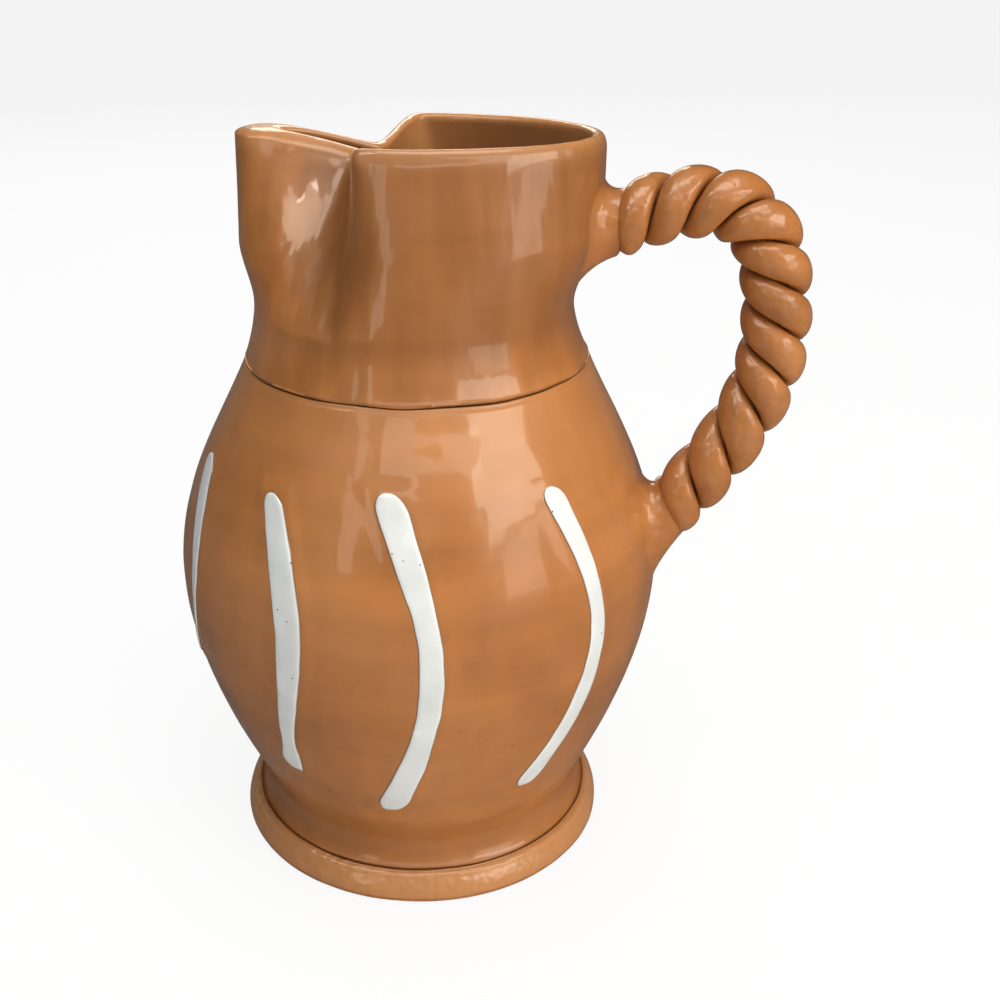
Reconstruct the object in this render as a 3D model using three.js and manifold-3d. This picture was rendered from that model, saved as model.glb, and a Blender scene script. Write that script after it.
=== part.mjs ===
// Hand-built earthenware jug with a pinched spout, a rope handle and white slip strokes.
// Millimetres, +Z up. The origin is on the jug's axis, in the plane that it stands on.
// The handle points to +X and the spout to -X.

import * as THREE from 'three';
import { mergeVertices } from 'three/addons/utils/BufferGeometryUtils.js';
import Module from 'manifold-3d';

const wasm = await Module();
wasm.setup();

// Clay
const wall = 5.2;
const floorThickness = 9;
const luteGap = 0.3; // left between two pieces that are luted together
const grooveChamfer = 0.8; // breaks the edges along the line between belly and neck

// Foot ring
const footRadius = 67.1;
const footHeight = 11;
const footEdgeRadius = 2.2;
const footSideHeight = 8.8; // where the side ends and the bevel below the belly begins
const footLean = 2.7; // how far the side leans in up to there
const footBevelBend = 0.9; // how far the bevel bulges out
const footTopInset = 5.1; // from the ring's outside to the flat that the belly stands on

// Belly, from the foot ring up
const flareSetback = 0.4; // from the ring's flat to the edge of the flare
const flareEdge = 1.2; // height and depth of the flare's rounded edge
const flareSpread = 3.2; // how far the flare stands out from the ankle
const flareSweep = 0.3; // share of the flare's height where it has drawn in to the ankle
const plugInset = 2.8; // the base inside the ring is this much narrower than the ankle
const ankleRise = 8.7; // above the foot ring
const ankleEase = 5.6; // lengths of the upright tangents of the belly's outline
const bellyRadius = 83.5;
const bellyRise = 85.3; // from the ankle to the widest place
const lowerFullness = 40;
const upperFullness = 30;
const shoulderRise = 73.2; // from the widest place to the neck's seat
const shoulderRun = new THREE.Vector2(6.6, -16.7); // tangent from the seat into the shoulder
const seatRadius = 57.5; // where the neck stands on the belly
const floorFillet = 10;

// Neck, mouth and spout
const neckHeight = 72.4; // from the seat to the rim
const waistRise = 18.8; // above the seat
const waistBack = 51.8; // the waist leans a little towards the spout
const waistFront = 53.6;
const waistBend = 1.6; // how sharply the neck draws in above the seat
const mouthBack = 60.2; // reach of the rim towards the handle
const mouthHalfWidth = 40;
const pinchOnset = 1.2; // how late the sides of the mouth close in
const spoutReach = 58.9; // reach of the rim towards the spout
const backSpread = 0.5; // shares of the neck's height in which back and spout reach out
const spoutSpread = 0.38;
const foldX = -12.2; // where both sides of the mouth are folded in
const channelTurn = 1.9; // how softly the fold turns into the spout's channel at the rim
const mouthTurn = 3; // and into the round of the mouth
const foldFade = 10; // both turns are this much softer at the waist, where the fold runs out
const throatHalfWidth = 12.6; // the spout's channel, at the fold and at its nose
const noseHalfWidth = 10.4;
const noseLength = 9;
const rimDip = 6.6; // how far the rim sinks at the fold
const dipBend = 1.3; // how much of the dip is kept for the fold

// Rope handle
const ropeRadius = 11.5; // at the neck
const ropeEndRadius = 11; // at the belly
const ropePitch = 24.2; // length of one full turn at the neck
const ropeEndPitch = 31.3; // the twist is looser at the belly
const ropeStart = -1.05; // turn of the first strand at the neck, in radians
const strandFlatness = 0.18; // 0 fills the half circle, larger leaves deeper creases
const strandSpan = 0.97; // share of the half circle that a strand's round side goes over
const handleReach = 115.3; // from the axis to the rope's outermost middle
const handleReachRise = 11.3; // above the neck's seat
const upperRootDrop = 29.1; // below the rim
const lowerRootDrop = 55.2; // below the neck's seat
const crownRise = new THREE.Vector2(36.8, 17); // tangent out of the neck
const crownFall = 45; // upright tangents at the outermost point
const haunchFall = 22.5;
const lowerRun = new THREE.Vector2(20, 27); // tangent out of the belly

// Handle pads
const padInset = 0.3; // a pad ends this much narrower than the rope on it
const padRootHalfHeight = 15; // the root on the wall
const padRootHalfWidth = 13.5;
const padFillet = 0.7; // share of the pad's length that runs straight before it spreads
const padSink = 4; // depth of the root below the wall's face, before it is cut to the wall
const upperPadLength = 8;
const upperPadDrop = 2.6; // the root lies this much lower than the rope's middle line
const lowerPadLength = 11.5;
const lowerPadDrop = 0.5;

// Slip strokes: place round the belly, slant and bend in degrees, ends above and below the widest place
const strokeThickness = 0.8;
const strokeEdge = 0.3;
const strokeCrown = 0.5; // share of the width that stands at full thickness
const strokeEndNarrowing = 0.8;
const strokeEndSharpness = 8; // larger keeps the width for longer before the ends
const strokes = [
  { azimuth: 180, above: 47, below: 61, lean: 3, bow: 7, width: 7.5 },
  { azimuth: 211.8, above: 46, below: 24, lean: 3.6, bow: 7, width: 5.5 },
  { azimuth: 245, above: 46, below: 55, lean: 2.5, bow: 8, width: 9 },
  { azimuth: 274.7, above: 51, below: 65, lean: 0, bow: 9.5, width: 8.6 },
  { azimuth: 314.6, above: 48, below: 61, lean: -4.5, bow: 9, width: 7.2 },
  { azimuth: 43, above: 45, below: 59, lean: 4, bow: 8, width: 7.8 },
  { azimuth: 81, above: 49, below: 63, lean: -3, bow: 9, width: 8.2 },
  { azimuth: 114, above: 44, below: 55, lean: 2, bow: 7.5, width: 7 },
  { azimuth: 147, above: 48, below: 60, lean: -2, bow: 8.5, width: 7.8 },
];

// Facets
const turnSteps = 48;
const bellySteps = 7;
const roundSteps = 4; // on each small rounding of a turned piece
const lobeColumns = 18; // on each side of the mouth
const spoutColumns = 12;
const neckRows = 9;
const rimSteps = 5;
const ropeStepsPerTurn = 11;
const strandSides = 10; // points on a strand's round side, and on the flat between its edges
const strandFlatSides = 2;
const padSides = 20;
const padSteps = 6;
const strokeSteps = 12;
const outlineSamples = 60;
const slopeStep = 1; // height over which the neck's slope is taken
const weldDistance = 1e-4;

const glazedClay = { color: 0xb0703a, roughness: 0.18, metalness: 0 };
const whiteSlip = { color: 0xf2efe8, roughness: 0.25, metalness: 0 };

// Heights and radii that follow from the sizes above
const footTopRadius = footRadius - footTopInset;
const flareRadius = footTopRadius - flareSetback;
const ankleRadius = flareRadius - flareSpread;
const plugRadius = ankleRadius - plugInset;
const ankleHeight = footHeight + ankleRise;
const bellyHeight = ankleHeight + bellyRise;
const seatHeight = bellyHeight + shoulderRise;
const waistHeight = seatHeight + waistRise;
const rimHeight = seatHeight + neckHeight;

const vec2 = (x, y) => new THREE.Vector2(x, y);
const mix = THREE.MathUtils.lerp;
const ease = THREE.MathUtils.smoothstep;
const clamp = THREE.MathUtils.clamp;

// A solid from rings of points: each ring is joined to the next, and the ends are closed flat.
// With joined set, the last ring meets the first and the solid is a closed band.
// Sides for which hollow is true are split the other way, so that they lie inwards.
function loft(rings, joined = false, hollow = () => false) {
  const sides = rings[0].length;
  const index = [];
  const bands = joined ? rings.length : rings.length - 1;
  for (let row = 0; row < bands; row++) {
    const next = (row + 1) % rings.length;
    for (let side = 0; side < sides; side++) {
      const turn = (side + 1) % sides;
      const [a, b] = [row * sides + side, row * sides + turn];
      const [c, d] = [next * sides + turn, next * sides + side];
      if (hollow(side)) index.push(a, b, d, b, c, d);
      else index.push(a, b, c, a, c, d);
    }
  }
  if (!joined) {
    const last = (rings.length - 1) * sides;
    const faces = (ring) => THREE.ShapeUtils.triangulateShape(flatten(ring), []);
    for (const [a, b, c] of faces(rings[0])) index.push(a, c, b);
    for (const [a, b, c] of faces(rings.at(-1))) index.push(last + a, last + b, last + c);
  }
  const geometry = new THREE.BufferGeometry().setFromPoints(rings.flat());
  geometry.setIndex(index);
  geometry.computeVertexNormals();
  return geometry;
}

// A flat ring of points in its own plane, seen from the side where it turns anticlockwise.
function flatten(ring) {
  const middle = ring.reduce((sum, point) => sum.add(point), new THREE.Vector3()).divideScalar(ring.length);
  const normal = new THREE.Vector3();
  ring.forEach((point, i) => {
    const next = ring[(i + 1) % ring.length];
    normal.add(point.clone().sub(middle).cross(next.clone().sub(middle)));
  });
  normal.normalize();
  const across = ring[0].clone().sub(middle).normalize();
  const up = normal.clone().cross(across);
  return ring.map((point) => {
    const arm = point.clone().sub(middle);
    return vec2(arm.dot(across), arm.dot(up));
  });
}

// A solid turned about the jug's axis from a closed outline of radius and height.
function revolve(outline) {
  return new THREE.LatheGeometry(outline, turnSteps).rotateX(Math.PI / 2);
}

function solidOf(geometry) {
  const bare = geometry.clone();
  bare.deleteAttribute('normal');
  bare.deleteAttribute('uv');
  const merged = mergeVertices(bare, weldDistance);
  const triangles = [];
  for (let i = 0; i < merged.index.count; i += 3) {
    const [a, b, c] = [0, 1, 2].map((corner) => merged.index.getX(i + corner));
    if (a !== b && b !== c && c !== a) triangles.push(a, b, c);
  }
  return new wasm.Manifold(new wasm.Mesh({
    numProp: 3,
    vertProperties: new Float32Array(merged.attributes.position.array),
    triVerts: new Uint32Array(triangles),
  }));
}

function geometryOf(solid) {
  const mesh = solid.getMesh();
  const geometry = new THREE.BufferGeometry();
  geometry.setAttribute('position', new THREE.BufferAttribute(mesh.vertProperties, 3));
  geometry.setIndex(new THREE.BufferAttribute(mesh.triVerts, 1));
  geometry.computeVertexNormals();
  return geometry;
}

const jug = new THREE.Group();

function addPiece(name, geometry, finish) {
  const mesh = new THREE.Mesh(geometry, new THREE.MeshStandardMaterial(finish));
  mesh.name = name;
  jug.add(mesh);
}

// Outline of the belly's outside, from the flare at the foot to the neck's seat.
const flareHeight = footHeight + luteGap + flareEdge;
const flareCurve = new THREE.QuadraticBezierCurve(
  vec2(flareRadius, flareHeight),
  vec2(ankleRadius, mix(flareHeight, ankleHeight, flareSweep)),
  vec2(ankleRadius, ankleHeight),
);
const lowerCurve = new THREE.CubicBezierCurve(
  vec2(ankleRadius, ankleHeight),
  vec2(ankleRadius, ankleHeight + ankleEase),
  vec2(bellyRadius, bellyHeight - lowerFullness),
  vec2(bellyRadius, bellyHeight),
);
const upperCurve = new THREE.CubicBezierCurve(
  vec2(bellyRadius, bellyHeight),
  vec2(bellyRadius, bellyHeight + upperFullness),
  vec2(seatRadius, seatHeight).add(shoulderRun),
  vec2(seatRadius, seatHeight),
);

// Points along a curve, moved square to it: inwards by a positive depth, outwards by a negative one.
function offsetPoints(curve, steps, depth) {
  return Array.from({ length: steps + 1 }, (_, i) => {
    const tangent = curve.getTangent(i / steps);
    return curve.getPoint(i / steps).add(vec2(-tangent.y, tangent.x).multiplyScalar(depth));
  });
}

// The belly's outside at a height between the ankle and the seat: its radius and the way it faces.
const bellySamples = [
  ...lowerCurve.getPoints(outlineSamples),
  ...upperCurve.getPoints(outlineSamples).slice(1),
];
function bellyFaceAt(height) {
  const found = bellySamples.findIndex((point) => point.y >= height);
  const after = found < 0 ? bellySamples.length - 1 : Math.max(1, found);
  const [low, high] = [bellySamples[after - 1], bellySamples[after]];
  const step = high.clone().sub(low);
  return {
    radius: low.x + (step.x / step.y) * (height - low.y),
    facing: vec2(step.y, -step.x).normalize(),
  };
}

function makeFootRing() {
  const bore = plugRadius + luteGap;
  const edge = new THREE.EllipseCurve(
    footRadius - footEdgeRadius, footEdgeRadius, footEdgeRadius, footEdgeRadius, -Math.PI / 2, 0,
  );
  const sideTop = vec2(footRadius - footLean, footSideHeight);
  const flatEdge = vec2(footTopRadius, footHeight);
  const bulge = sideTop.clone().lerp(flatEdge, 0.5).add(vec2(footBevelBend, footBevelBend));
  const side = new THREE.QuadraticBezierCurve(
    vec2(footRadius, footEdgeRadius),
    vec2(footRadius, mix(footEdgeRadius, footSideHeight, 0.5)),
    sideTop,
  );
  const bevel = new THREE.QuadraticBezierCurve(sideTop, bulge, flatEdge);
  return revolve([
    vec2(bore, 0),
    ...edge.getPoints(roundSteps),
    ...side.getPoints(roundSteps).slice(1),
    ...bevel.getPoints(roundSteps).slice(1),
    vec2(bore, footHeight),
    vec2(bore, 0),
  ]);
}

function makeBelly() {
  const seatLow = seatHeight - luteGap / 2;
  const footSeat = footHeight + luteGap;
  const outside = [
    ...flareCurve.getPoints(roundSteps),
    ...lowerCurve.getPoints(bellySteps).slice(1),
    ...upperCurve.getPoints(bellySteps).slice(1, -1),
  ];
  const inside = [
    ...offsetPoints(upperCurve, bellySteps - 1, wall).reverse(),
    ...offsetPoints(lowerCurve, bellySteps - 1, wall).reverse().slice(1),
  ];
  const filletMiddle = vec2(ankleRadius - wall - floorFillet, floorThickness + floorFillet);
  const fillet = new THREE.EllipseCurve(
    filletMiddle.x, filletMiddle.y, floorFillet, floorFillet, 0, -Math.PI / 2, true,
  );
  return revolve([
    vec2(0, 0),
    vec2(plugRadius, 0),
    vec2(plugRadius, footSeat),
    vec2(flareRadius - flareEdge, footSeat),
    ...outside,
    vec2(seatRadius, seatLow - grooveChamfer),
    vec2(seatRadius - grooveChamfer, seatLow),
    vec2(seatRadius - wall, seatLow),
    ...inside,
    ...fillet.getPoints(roundSteps),
    vec2(0, floorThickness),
  ]);
}

// Columns of the neck run down from the rim. Each is a share of the way from the back of the mouth, 0,
// to the fold, 1, and on to the nose of the spout, 2, and they crowd together at these three places.
const crowded = (steps) => Array.from({ length: steps }, (_, i) => (1 - Math.cos((i / steps) * Math.PI)) / 2);
const halfColumns = [...crowded(lobeColumns), ...crowded(spoutColumns).map((share) => 1 + share), 2];
const columns = [
  ...halfColumns.map((share) => ({ share, side: 1 })),
  ...halfColumns.slice(1, -1).reverse().map((share) => ({ share, side: -1 })),
];

// How far the neck is folded in at a distance from the fold, negative on the spout's side: from 1 in
// the spout's channel to 0 round the mouth.
function foldedAt(distance, softening = 0) {
  const inner = channelTurn + softening;
  const outer = mouthTurn + softening;
  const turned = Math.tanh(distance / (distance < 0 ? inner : outer));
  return (outer - (distance < 0 ? inner : outer) * turned) / (inner + outer);
}

// One point of the neck, at a depth inside its outer face: a circle below the waist, an oval above it
// that is folded in on the spout's side, more and more towards the rim.
function neckPoint({ share, side }, height, depth = 0) {
  const fall = clamp((waistHeight - height) / waistRise, 0, 1);
  const rise = clamp((height - waistHeight) / (rimHeight - waistHeight), 0, 1);
  const below = fall ** waistBend;
  const back = mix(mix(waistBack, mouthBack, ease(rise, 0, backSpread)), seatRadius, below) - depth;
  const front = mix(mix(waistFront, spoutReach, ease(rise, 0, spoutSpread)), seatRadius, below) - depth;
  const waistHalfWidth = (waistBack + waistFront) / 2;
  const halfWidth = mix(mix(waistHalfWidth, mouthHalfWidth, rise ** pinchOnset), seatRadius, below) - depth;
  const fold = foldX + depth;
  const x = share < 1 ? mix(back, fold, share) : mix(fold, -front, share - 1);
  const middle = (back - front) / 2;
  const halfLength = (back + front) / 2;
  const oval = halfWidth * Math.sqrt(Math.max(0, 1 - ((x - middle) / halfLength) ** 2));
  const beyond = Math.max(0, share - 1);
  const noseTurn = clamp(1 - (x + front) / noseLength, 0, 1);
  const channel = (mix(throatHalfWidth, noseHalfWidth, beyond) - depth) * Math.sqrt(1 - noseTurn ** 2);
  const folded = foldedAt(x - fold, mix(foldFade, 0, rise)) * rise;
  return vec2(x, side * mix(oval, channel, folded));
}

// Height of the rim over a column: it falls along the spout and rises again past the fold.
function rimHeightAt(column) {
  const x = neckPoint(column, rimHeight).x;
  const along = Math.min(1, (x + spoutReach) / (foldX + spoutReach));
  return rimHeight - rimDip * foldedAt(x - foldX) * along ** dipBend;
}

// A ring round the neck, at a share of each column's height and a depth inside the outer face.
function neckRing(share, depth, lift = 0) {
  return columns.map((column) => {
    const columnTop = rimHeightAt(column) - wall / 2;
    const plan = neckPoint(column, mix(seatHeight, rimHeight, share), depth);
    return new THREE.Vector3(plan.x, plan.y, mix(seatHeight, columnTop, share) + lift);
  });
}

// Rings of one face of the neck, from a height above the seat up to the rim.
function neckFace(startHeight, depth) {
  return Array.from({ length: neckRows + 1 }, (_, row) => (
    neckRing(mix(startHeight / neckHeight, 1, row / neckRows), depth)
  ));
}
const neckFoot = luteGap / 2;

function makeNeck() {
  const rim = [];
  for (let step = 1; step < rimSteps; step++) {
    const turn = (step / rimSteps) * Math.PI;
    rim.push(neckRing(1, (wall / 2) * (1 - Math.cos(turn)), (wall / 2) * Math.sin(turn)));
  }
  return loft([
    neckRing(0, grooveChamfer, neckFoot),
    ...neckFace(neckFoot + grooveChamfer, 0),
    ...rim,
    ...neckFace(neckFoot + grooveChamfer, wall).reverse(),
    neckRing(0, wall, neckFoot),
  ], true);
}

// Middle line of the rope, from the neck's face to the belly's face.
const upperRootHeight = rimHeight - upperRootDrop;
const lowerRootHeight = seatHeight - lowerRootDrop;
const upperRoot = vec2(neckPoint(columns[0], upperRootHeight).x, upperRootHeight);
const lowerRoot = vec2(bellyFaceAt(lowerRootHeight).radius, lowerRootHeight);
const outermost = vec2(handleReach, seatHeight + handleReachRise);
const ropeLine = new THREE.CurvePath();
ropeLine.add(new THREE.CubicBezierCurve(
  upperRoot,
  upperRoot.clone().add(crownRise),
  outermost.clone().add(vec2(0, crownFall)),
  outermost,
));
ropeLine.add(new THREE.CubicBezierCurve(
  outermost,
  outermost.clone().add(vec2(0, -haunchFall)),
  lowerRoot.clone().add(lowerRun),
  lowerRoot,
));
const ropeLength = ropeLine.getLength();

const ropeRadiusAt = (distance) => mix(ropeRadius, ropeEndRadius, distance / ropeLength);

// How many times the rope has turned at a distance from the neck's face.
function ropeTurnsAt(distance) {
  const turnsPerLength = mix(1 / ropePitch, 1 / ropeEndPitch, distance / ropeLength / 2);
  return distance * turnsPerLength;
}

// Place and directions on the rope's middle line, at a distance from the neck's face.
// Distances beyond either face run straight on.
function ropeFrame(distance) {
  const inside = clamp(distance, 0, ropeLength);
  const flat = ropeLine.getPointAt(inside / ropeLength);
  const tangent = ropeLine.getTangentAt(inside / ropeLength);
  flat.add(tangent.clone().multiplyScalar(distance - inside));
  return {
    place: new THREE.Vector3(flat.x, 0, flat.y),
    outward: new THREE.Vector3(-tangent.y, 0, tangent.x),
    sideways: new THREE.Vector3(0, 1, 0),
  };
}

// Section of a strand: a rounded half of the rope's section, with its flat side at half the lute gap.
function strandSection(radius) {
  const round = Array.from({ length: strandSides }, (_, i) => {
    const angle = mix(-0.5, 0.5, i / (strandSides - 1)) * strandSpan * Math.PI;
    const reach = radius * Math.cos(angle) ** strandFlatness;
    return vec2(reach * Math.cos(angle), reach * Math.sin(angle));
  });
  const [start, end] = [round[0], round.at(-1)];
  const flat = Array.from({ length: strandFlatSides }, (_, i) => (
    end.clone().lerp(start, (i + 1) / (strandFlatSides + 1))
  ));
  return [...round, ...flat].map((point) => vec2(point.x - start.x + luteGap / 2, point.y));
}

// One strand: its section is turned about the rope's middle line as it goes along.
function makeStrand(startTurn) {
  const from = upperPadLength + luteGap;
  const to = ropeLength - lowerPadLength - luteGap;
  const steps = Math.round((ropeTurnsAt(to) - ropeTurnsAt(from)) * ropeStepsPerTurn);
  const rings = [];
  for (let step = 0; step <= steps; step++) {
    const distance = mix(from, to, step / steps);
    const { place, outward, sideways } = ropeFrame(distance);
    const turn = startTurn + ropeTurnsAt(distance) * 2 * Math.PI;
    const ring = strandSection(ropeRadiusAt(distance)).map((point) => {
      point.rotateAround(vec2(0, 0), turn);
      return place.clone().addScaledVector(outward, point.x).addScaledVector(sideways, point.y);
    });
    rings.push(ring.reverse());
  }
  const lastSide = strandSides + strandFlatSides - 1;
  return loft(rings, false, (side) => side < strandFlatSides || side === lastSide);
}

// A pad: a foot of clay that runs from the rope's end into the wall and spreads there like a fillet.
// It is made a little too deep, and then cut to the wall.
function padBlank(endDistance, wallFace, height, drop) {
  const end = ropeFrame(endDistance);
  const endRadius = ropeRadiusAt(endDistance) - padInset;
  const facing = new THREE.Vector3(wallFace.facing.x, 0, wallFace.facing.y);
  const up = new THREE.Vector3(-wallFace.facing.y, 0, wallFace.facing.x);
  const root = new THREE.Vector3(wallFace.radius, 0, height)
    .addScaledVector(facing, -padSink)
    .addScaledVector(up, -drop);
  const run = root.clone().sub(end.place).multiplyScalar(padFillet);
  const endUp = end.outward.clone().multiplyScalar(Math.sign(end.outward.dot(up)));
  const sides = Array.from({ length: padSides }, (_, side) => {
    const angle = (side / padSides) * 2 * Math.PI;
    const rim = end.place.clone()
      .addScaledVector(endUp, endRadius * Math.cos(angle))
      .addScaledVector(end.sideways, endRadius * Math.sin(angle));
    const foot = root.clone()
      .addScaledVector(up, padRootHalfHeight * Math.cos(angle))
      .addScaledVector(end.sideways, padRootHalfWidth * Math.sin(angle));
    return new THREE.QuadraticBezierCurve3(rim, rim.clone().add(run), foot).getPoints(padSteps);
  });
  const rings = Array.from({ length: padSteps + 1 }, (_, step) => sides.map((side) => side[step]));
  return solidOf(loft(rings));
}

function makeUpperPad() {
  const [low, high] = [-slopeStep, slopeStep].map((step) => neckPoint(columns[0], upperRootHeight + step).x);
  const face = { radius: upperRoot.x, facing: vec2(2 * slopeStep, low - high).normalize() };
  const core = solidOf(loft(neckFace(neckFoot + grooveChamfer, -luteGap)));
  const blank = padBlank(upperPadLength, face, upperRootHeight, upperPadDrop);
  return geometryOf(blank.subtract(core));
}

function makeLowerPad() {
  const outline = [
    ...offsetPoints(lowerCurve, bellySteps, -luteGap),
    ...offsetPoints(upperCurve, bellySteps, -luteGap).slice(1),
  ];
  const core = solidOf(revolve([vec2(0, outline[0].y), ...outline, vec2(0, outline.at(-1).y)]));
  const face = bellyFaceAt(lowerRootHeight);
  const blank = padBlank(ropeLength - lowerPadLength, face, lowerRootHeight, lowerPadDrop);
  return geometryOf(blank.subtract(core));
}

// A stroke of slip: a low dome that follows the belly from its top end to its bottom end.
function makeStroke({ azimuth, above, below, lean, bow, width }) {
  const rings = [];
  const section = [
    vec2(-1, 0),
    vec2(0, 0),
    vec2(1, 0),
    vec2(1, strokeEdge),
    vec2(strokeCrown, strokeThickness),
    vec2(-strokeCrown, strokeThickness),
    vec2(-1, strokeEdge),
  ];
  for (let step = 0; step <= strokeSteps; step++) {
    const run = step / strokeSteps;
    const height = bellyHeight + mix(above, -below, run);
    const middle = azimuth + lean * (run - 0.5) + bow * Math.sin(run * Math.PI);
    const narrowing = strokeEndNarrowing * Math.abs(2 * run - 1) ** strokeEndSharpness;
    const halfWidth = (width / 2) * Math.sqrt(1 - narrowing);
    const { radius, facing } = bellyFaceAt(height);
    rings.push(section.map((point) => {
      const lift = luteGap + point.y;
      const turn = THREE.MathUtils.degToRad(middle) + (point.x * halfWidth) / radius;
      const reach = radius + facing.x * lift;
      return new THREE.Vector3(reach * Math.cos(turn), reach * Math.sin(turn), height + facing.y * lift);
    }));
  }
  return loft(rings);
}

addPiece('foot_ring', makeFootRing(), glazedClay);
addPiece('belly', makeBelly(), glazedClay);
addPiece('neck_spout', makeNeck(), glazedClay);
addPiece('handle_strand_1', makeStrand(ropeStart), glazedClay);
addPiece('handle_strand_2', makeStrand(ropeStart + Math.PI), glazedClay);
addPiece('handle_upper_pad', makeUpperPad(), glazedClay);
addPiece('handle_lower_pad', makeLowerPad(), glazedClay);
strokes.forEach((stroke, i) => addPiece(`slip_stroke_${i + 1}`, makeStroke(stroke), whiteSlip));

export default jug;
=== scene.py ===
import bisect
import math

import bmesh
import bpy
from mathutils import Matrix, Vector, noise


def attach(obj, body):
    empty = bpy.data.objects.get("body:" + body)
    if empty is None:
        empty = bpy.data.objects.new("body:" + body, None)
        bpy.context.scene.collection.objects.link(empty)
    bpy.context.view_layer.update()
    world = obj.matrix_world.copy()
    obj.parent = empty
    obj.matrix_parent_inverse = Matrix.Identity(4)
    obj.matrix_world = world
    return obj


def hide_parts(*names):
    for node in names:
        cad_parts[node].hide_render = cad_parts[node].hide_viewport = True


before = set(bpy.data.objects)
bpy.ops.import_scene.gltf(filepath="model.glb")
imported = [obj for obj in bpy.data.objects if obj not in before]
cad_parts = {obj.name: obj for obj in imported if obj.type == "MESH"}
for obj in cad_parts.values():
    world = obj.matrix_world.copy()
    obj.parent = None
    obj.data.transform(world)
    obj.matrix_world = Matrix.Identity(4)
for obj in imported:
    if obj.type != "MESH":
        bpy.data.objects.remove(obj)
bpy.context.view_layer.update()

mm = 0.001  # shapes are worked out in millimetres
print("frame loaded:", len(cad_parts), "nodes")


def mix(a, b, t):
    return a + (b - a) * t


def clamp(x, low=0.0, high=1.0):
    return max(low, min(high, x))


def ease(x, low, high):
    t = clamp((x - low) / (high - low))
    return t * t * (3 - 2 * t)


def bezier(points, t):
    points = [Vector(p) for p in points]
    while len(points) > 1:
        points = [a.lerp(b, t) for a, b in zip(points, points[1:])]
    return points[0]


def hump(x, middle, width):
    return math.exp(-((x - middle) / width) ** 2)


def arc(middle, radius, start, end, steps):
    # points along a round edge, with its angles in degrees
    turns = [math.radians(mix(start, end, i / steps)) for i in range(steps + 1)]
    return [(middle[0] + radius * math.cos(t), middle[1] + radius * math.sin(t)) for t in turns]


def bracket(values, x):
    # places of the two neighbours in a rising list that x lies between
    after = bisect.bisect_right(values, x)
    after = min(max(after, 1), len(values) - 1)
    return after - 1, after


# camera at the photo's viewing angle
view = {
    "place": (0.0907, -0.4078, 0.3119),
    "turn": 12.0,
    "pitch": 24.344,
    "roll": -0.45,
    "lens": 46.8,
    "sensor": 36.0,
    "shift": 0.07,
    "nearest": 0.01,
}

cameraData = bpy.data.cameras.new("camera")
cameraData.lens = view["lens"]
cameraData.sensor_width = view["sensor"]
cameraData.shift_x = view["shift"]
cameraData.clip_start = view["nearest"]
camera = bpy.data.objects.new("camera", cameraData)
bpy.context.collection.objects.link(camera)
camera.matrix_world = (
    Matrix.Translation(view["place"])
    @ Matrix.Rotation(math.radians(view["turn"]), 4, "Z")
    @ Matrix.Rotation(math.radians(90 - view["pitch"]), 4, "X")
    @ Matrix.Rotation(math.radians(view["roll"]), 4, "Z")
)
bpy.context.scene.camera = camera
print("camera set")


# node helpers for the materials
noiseSpan = 0.3, 0.7  # nearly all of a noise lies between these


def newMaterial(name):
    material = bpy.data.materials.new(name)
    material.use_nodes = True
    nodes = material.node_tree.nodes
    return material, nodes, material.node_tree.links, nodes["Principled BSDF"]


def addNoise(nodes, links, source, scale, detail=2.0, rough=0.5, warp=0.0):
    node = nodes.new("ShaderNodeTexNoise")
    node.inputs["Scale"].default_value = scale
    node.inputs["Detail"].default_value = detail
    node.inputs["Roughness"].default_value = rough
    node.inputs["Distortion"].default_value = warp
    links.new(source, node.inputs["Vector"])
    return node.outputs["Fac"]


def addRamp(nodes, links, source, stops):
    node = nodes.new("ShaderNodeValToRGB")
    ramp = node.color_ramp
    while len(ramp.elements) < len(stops):
        ramp.elements.new(0.5)
    for element, (place, colour) in zip(ramp.elements, stops):
        element.position = place
        element.color = (*colour, 1)
    links.new(source, node.inputs["Fac"])
    return node.outputs["Color"]


def addRange(nodes, links, source, fromLow, fromHigh, low, high):
    node = nodes.new("ShaderNodeMapRange")
    node.inputs["From Min"].default_value = fromLow
    node.inputs["From Max"].default_value = fromHigh
    node.inputs["To Min"].default_value = low
    node.inputs["To Max"].default_value = high
    links.new(source, node.inputs["Value"])
    return node.outputs["Result"]


def addMix(nodes, links, factor, first, second, blend="MIX"):
    node = nodes.new("ShaderNodeMix")
    node.data_type = "RGBA"
    node.blend_type = blend
    if isinstance(factor, float):
        node.inputs["Factor"].default_value = factor
    else:
        links.new(factor, node.inputs["Factor"])
    for value, socket in ((first, node.inputs[6]), (second, node.inputs[7])):
        if isinstance(value, tuple):
            socket.default_value = (*value, 1)
        else:
            links.new(value, socket)
    return node.outputs[2]


def addStretch(nodes, links, source, scale):
    node = nodes.new("ShaderNodeMapping")
    node.inputs["Scale"].default_value = scale
    links.new(source, node.inputs["Vector"])
    return node.outputs["Vector"]


def addBump(nodes, links, height, strength, distance, under=None):
    node = nodes.new("ShaderNodeBump")
    node.inputs["Strength"].default_value = strength
    node.inputs["Distance"].default_value = distance
    links.new(height, node.inputs["Height"])
    if under is not None:
        links.new(under, node.inputs["Normal"])
    return node.outputs["Normal"]


def addMath(nodes, links, operation, first, second):
    node = nodes.new("ShaderNodeMath")
    node.operation = operation
    for value, socket in ((first, node.inputs[0]), (second, node.inputs[1])):
        if isinstance(value, float):
            socket.default_value = value
        else:
            links.new(value, socket)
    return node.outputs["Value"]


def addAttribute(nodes, name):
    node = nodes.new("ShaderNodeAttribute")
    node.attribute_name = name
    return node.outputs["Fac"]


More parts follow.
